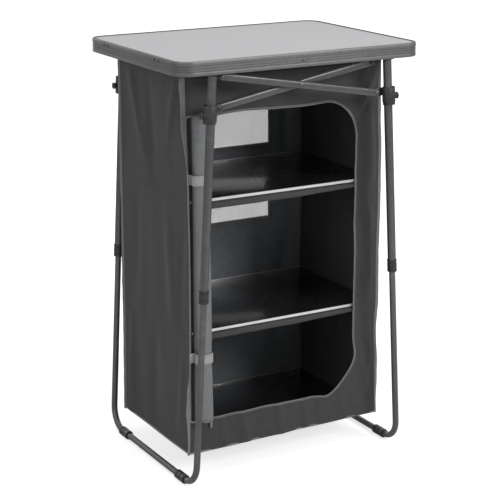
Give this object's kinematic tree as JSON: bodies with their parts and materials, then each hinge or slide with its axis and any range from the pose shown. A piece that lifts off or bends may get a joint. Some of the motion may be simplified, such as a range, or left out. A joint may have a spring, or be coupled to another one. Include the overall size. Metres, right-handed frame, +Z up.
{
  "type": "folding camping storage unit",
  "caption": "Folding camping larder: table board on a crossed-bar steel frame, with a hanging cloth cabinet, loose shelves and a roll-up door.",
  "frame": {"origin": "on the floor, under the middle of the table board", "axes": "+Z up; +X to the user's right; -Y towards the side with the door opening"},
  "size_m": [0.6, 0.456, 0.95],
  "materials": {
    "pale_laminate": "satin laminate on a wood core",
    "grey_edging": "dark grey anodised",
    "grey_painted_steel": "satin powder coat",
    "black_plastic": "moulded",
    "bright_steel": "plated",
    "charcoal_cloth": "woven",
    "grey_binding": "woven tape",
    "pale_netting": "open net",
    "gloss_black_board": "gloss lacquer",
    "bright_trim": "gloss",
    "black_webbing": "woven webbing"
  },
  "bodies": {
    "left_frame_and_cabinet": {"corner_head_front_left": "black_plastic", "corner_head_rear_left": "black_plastic", "upper_leg_front_left": "grey_painted_steel", "upper_leg_rear_left": "grey_painted_steel", "collar_front_left": "black_plastic", "collar_rear_left": "black_plastic", "side_tube_left": "grey_painted_steel", "hanging_sleeve_left": "black_webbing", "cloth_front": "charcoal_cloth", "cloth_back": "charcoal_cloth", "cloth_wall_left": "charcoal_cloth", "cloth_wall_right": "charcoal_cloth", "cloth_roof": "charcoal_cloth", "cloth_floor": "charcoal_cloth", "shelf_sling_upper": "charcoal_cloth", "shelf_sling_lower": "charcoal_cloth", "base_board": "gloss_black_board", "window_net_lower": "pale_netting", "window_net_upper": "pale_netting", "edge_binding": "grey_binding", "opening_zip": "grey_binding", "door_roll": "grey_binding", "door_strap_upper": "grey_binding", "door_strap_lower": "grey_binding"},
    "right_frame": {"corner_head_front_right": "black_plastic", "corner_head_rear_right": "black_plastic", "upper_leg_front_right": "grey_painted_steel", "upper_leg_rear_right": "grey_painted_steel", "collar_front_right": "black_plastic", "collar_rear_right": "black_plastic", "side_tube_right": "grey_painted_steel", "hanging_sleeve_right": "black_webbing"},
    "front_bar_first": {"front_bar_a": "grey_painted_steel", "cross_rivet_front": "bright_steel"},
    "front_bar_second": {"front_bar_b": "grey_painted_steel"},
    "rear_bar_first": {"rear_bar_a": "grey_painted_steel", "cross_rivet_rear": "bright_steel"},
    "rear_bar_second": {"rear_bar_b": "grey_painted_steel"},
    "left_legs": {"lower_frame_left": "grey_painted_steel", "foot_sleeve_front_left": "black_plastic", "foot_sleeve_rear_left": "black_plastic"},
    "right_legs": {"lower_frame_right": "grey_painted_steel", "foot_sleeve_front_right": "black_plastic", "foot_sleeve_rear_right": "black_plastic"},
    "table_board": {"tabletop_panel": "pale_laminate", "tabletop_rim": "grey_edging", "cross_rail_front": "grey_painted_steel", "cross_rail_rear": "grey_painted_steel"},
    "upper_shelf": {"shelf_board_upper": "gloss_black_board", "shelf_trim_upper": "bright_trim"},
    "lower_shelf": {"shelf_board_lower": "gloss_black_board", "shelf_trim_lower": "bright_trim"},
    "slider_front_left": {"slider_front_left": "black_plastic"},
    "knob_front_left": {"lock_knob_front_left": "black_plastic"},
    "slider_front_right": {"slider_front_right": "black_plastic"},
    "knob_front_right": {"lock_knob_front_right": "black_plastic"},
    "slider_rear_left": {"slider_rear_left": "black_plastic"},
    "knob_rear_left": {"lock_knob_rear_left": "black_plastic"},
    "slider_rear_right": {"slider_rear_right": "black_plastic"},
    "knob_rear_right": {"lock_knob_rear_right": "black_plastic"}
  },
  "joints": [
    {"name": "fold", "type": "hinge", "parent": "left_frame_and_cabinet", "child": "front_bar_first", "pos_m": [-0.19004, -0.2019, 0.911], "axis": [0, 1, 0], "range_deg": [0, 73], "deforming": ["hanging_sleeve_right"]},
    {"name": "front_cross", "type": "hinge", "parent": "front_bar_first", "child": "front_bar_second", "pos_m": [0, -0.2019, 0.87782], "axis": [0, 1, 0], "range_deg": [-145, 1]},
    {"name": "right_frame_turn", "type": "hinge", "parent": "front_bar_second", "child": "right_frame", "pos_m": [0.19004, -0.2019, 0.911], "axis": [0, 1, 0], "range_deg": [-1, 74]},
    {"name": "rear_bar_turn", "type": "hinge", "parent": "left_frame_and_cabinet", "child": "rear_bar_first", "pos_m": [-0.19004, 0.2019, 0.911], "axis": [0, 1, 0], "range_deg": [-1, 74]},
    {"name": "rear_cross", "type": "hinge", "parent": "rear_bar_first", "child": "rear_bar_second", "pos_m": [0, 0.2019, 0.87782], "axis": [0, 1, 0], "range_deg": [-145, 1]},
    {"name": "slider_turn_front_left", "type": "hinge", "parent": "front_bar_second", "child": "slider_front_left", "pos_m": [-0.19371, -0.2019, 0.844], "axis": [0, 1, 0], "range_deg": [-1, 68]},
    {"name": "lock_pull_front_left", "type": "slide", "parent": "slider_front_left", "child": "knob_front_left", "axis": [-1, 0, 0], "range_m": [0, 0.003], "stiffness_N_per_m": 300},
    {"name": "slider_turn_front_right", "type": "hinge", "parent": "front_bar_first", "child": "slider_front_right", "pos_m": [0.19371, -0.2019, 0.844], "axis": [0, 1, 0], "range_deg": [-68, 1]},
    {"name": "lock_pull_front_right", "type": "slide", "parent": "slider_front_right", "child": "knob_front_right", "axis": [1, 0, 0], "range_m": [0, 0.003], "stiffness_N_per_m": 300},
    {"name": "slider_turn_rear_left", "type": "hinge", "parent": "rear_bar_second", "child": "slider_rear_left", "pos_m": [-0.19371, 0.2019, 0.844], "axis": [0, 1, 0], "range_deg": [-1, 68]},
    {"name": "lock_pull_rear_left", "type": "slide", "parent": "slider_rear_left", "child": "knob_rear_left", "axis": [-1, 0, 0], "range_m": [0, 0.003], "stiffness_N_per_m": 300},
    {"name": "slider_turn_rear_right", "type": "hinge", "parent": "rear_bar_first", "child": "slider_rear_right", "pos_m": [0.19371, 0.2019, 0.844], "axis": [0, 1, 0], "range_deg": [-68, 1]},
    {"name": "lock_pull_rear_right", "type": "slide", "parent": "slider_rear_right", "child": "knob_rear_right", "axis": [1, 0, 0], "range_m": [0, 0.003], "stiffness_N_per_m": 300},
    {"name": "left_legs_extend", "type": "slide", "parent": "left_frame_and_cabinet", "child": "left_legs", "axis": [-0.0548, 0, -0.9985], "range_m": [-0.08, 0]},
    {"name": "right_legs_extend", "type": "slide", "parent": "right_frame", "child": "right_legs", "axis": [0.0548, 0, -0.9985], "range_m": [-0.08, 0]},
    {"name": "board_lift", "type": "slide", "parent": "left_frame_and_cabinet", "child": "table_board", "axis": [0, 0, 1], "range_m": [0, 0.12]},
    {"name": "upper_shelf_lift", "type": "slide", "parent": "left_frame_and_cabinet", "child": "upper_shelf", "axis": [0, 0, 1], "range_m": [0, 0.05]},
    {"name": "lower_shelf_lift", "type": "slide", "parent": "left_frame_and_cabinet", "child": "lower_shelf", "axis": [0, 0, 1], "range_m": [0, 0.05]}
  ],
  "couplings": [
    {"joint": "front_cross", "follows": "fold", "ratio": -1.9167},
    {"joint": "right_frame_turn", "follows": "fold", "ratio": 1},
    {"joint": "rear_bar_turn", "follows": "fold", "ratio": 1},
    {"joint": "rear_cross", "follows": "fold", "ratio": -1.9167},
    {"joint": "slider_turn_front_left", "follows": "fold", "ratio": 0.91666},
    {"joint": "slider_turn_front_right", "follows": "fold", "ratio": -0.91666},
    {"joint": "slider_turn_rear_left", "follows": "fold", "ratio": 0.91666},
    {"joint": "slider_turn_rear_right", "follows": "fold", "ratio": -0.91666}
  ]
}
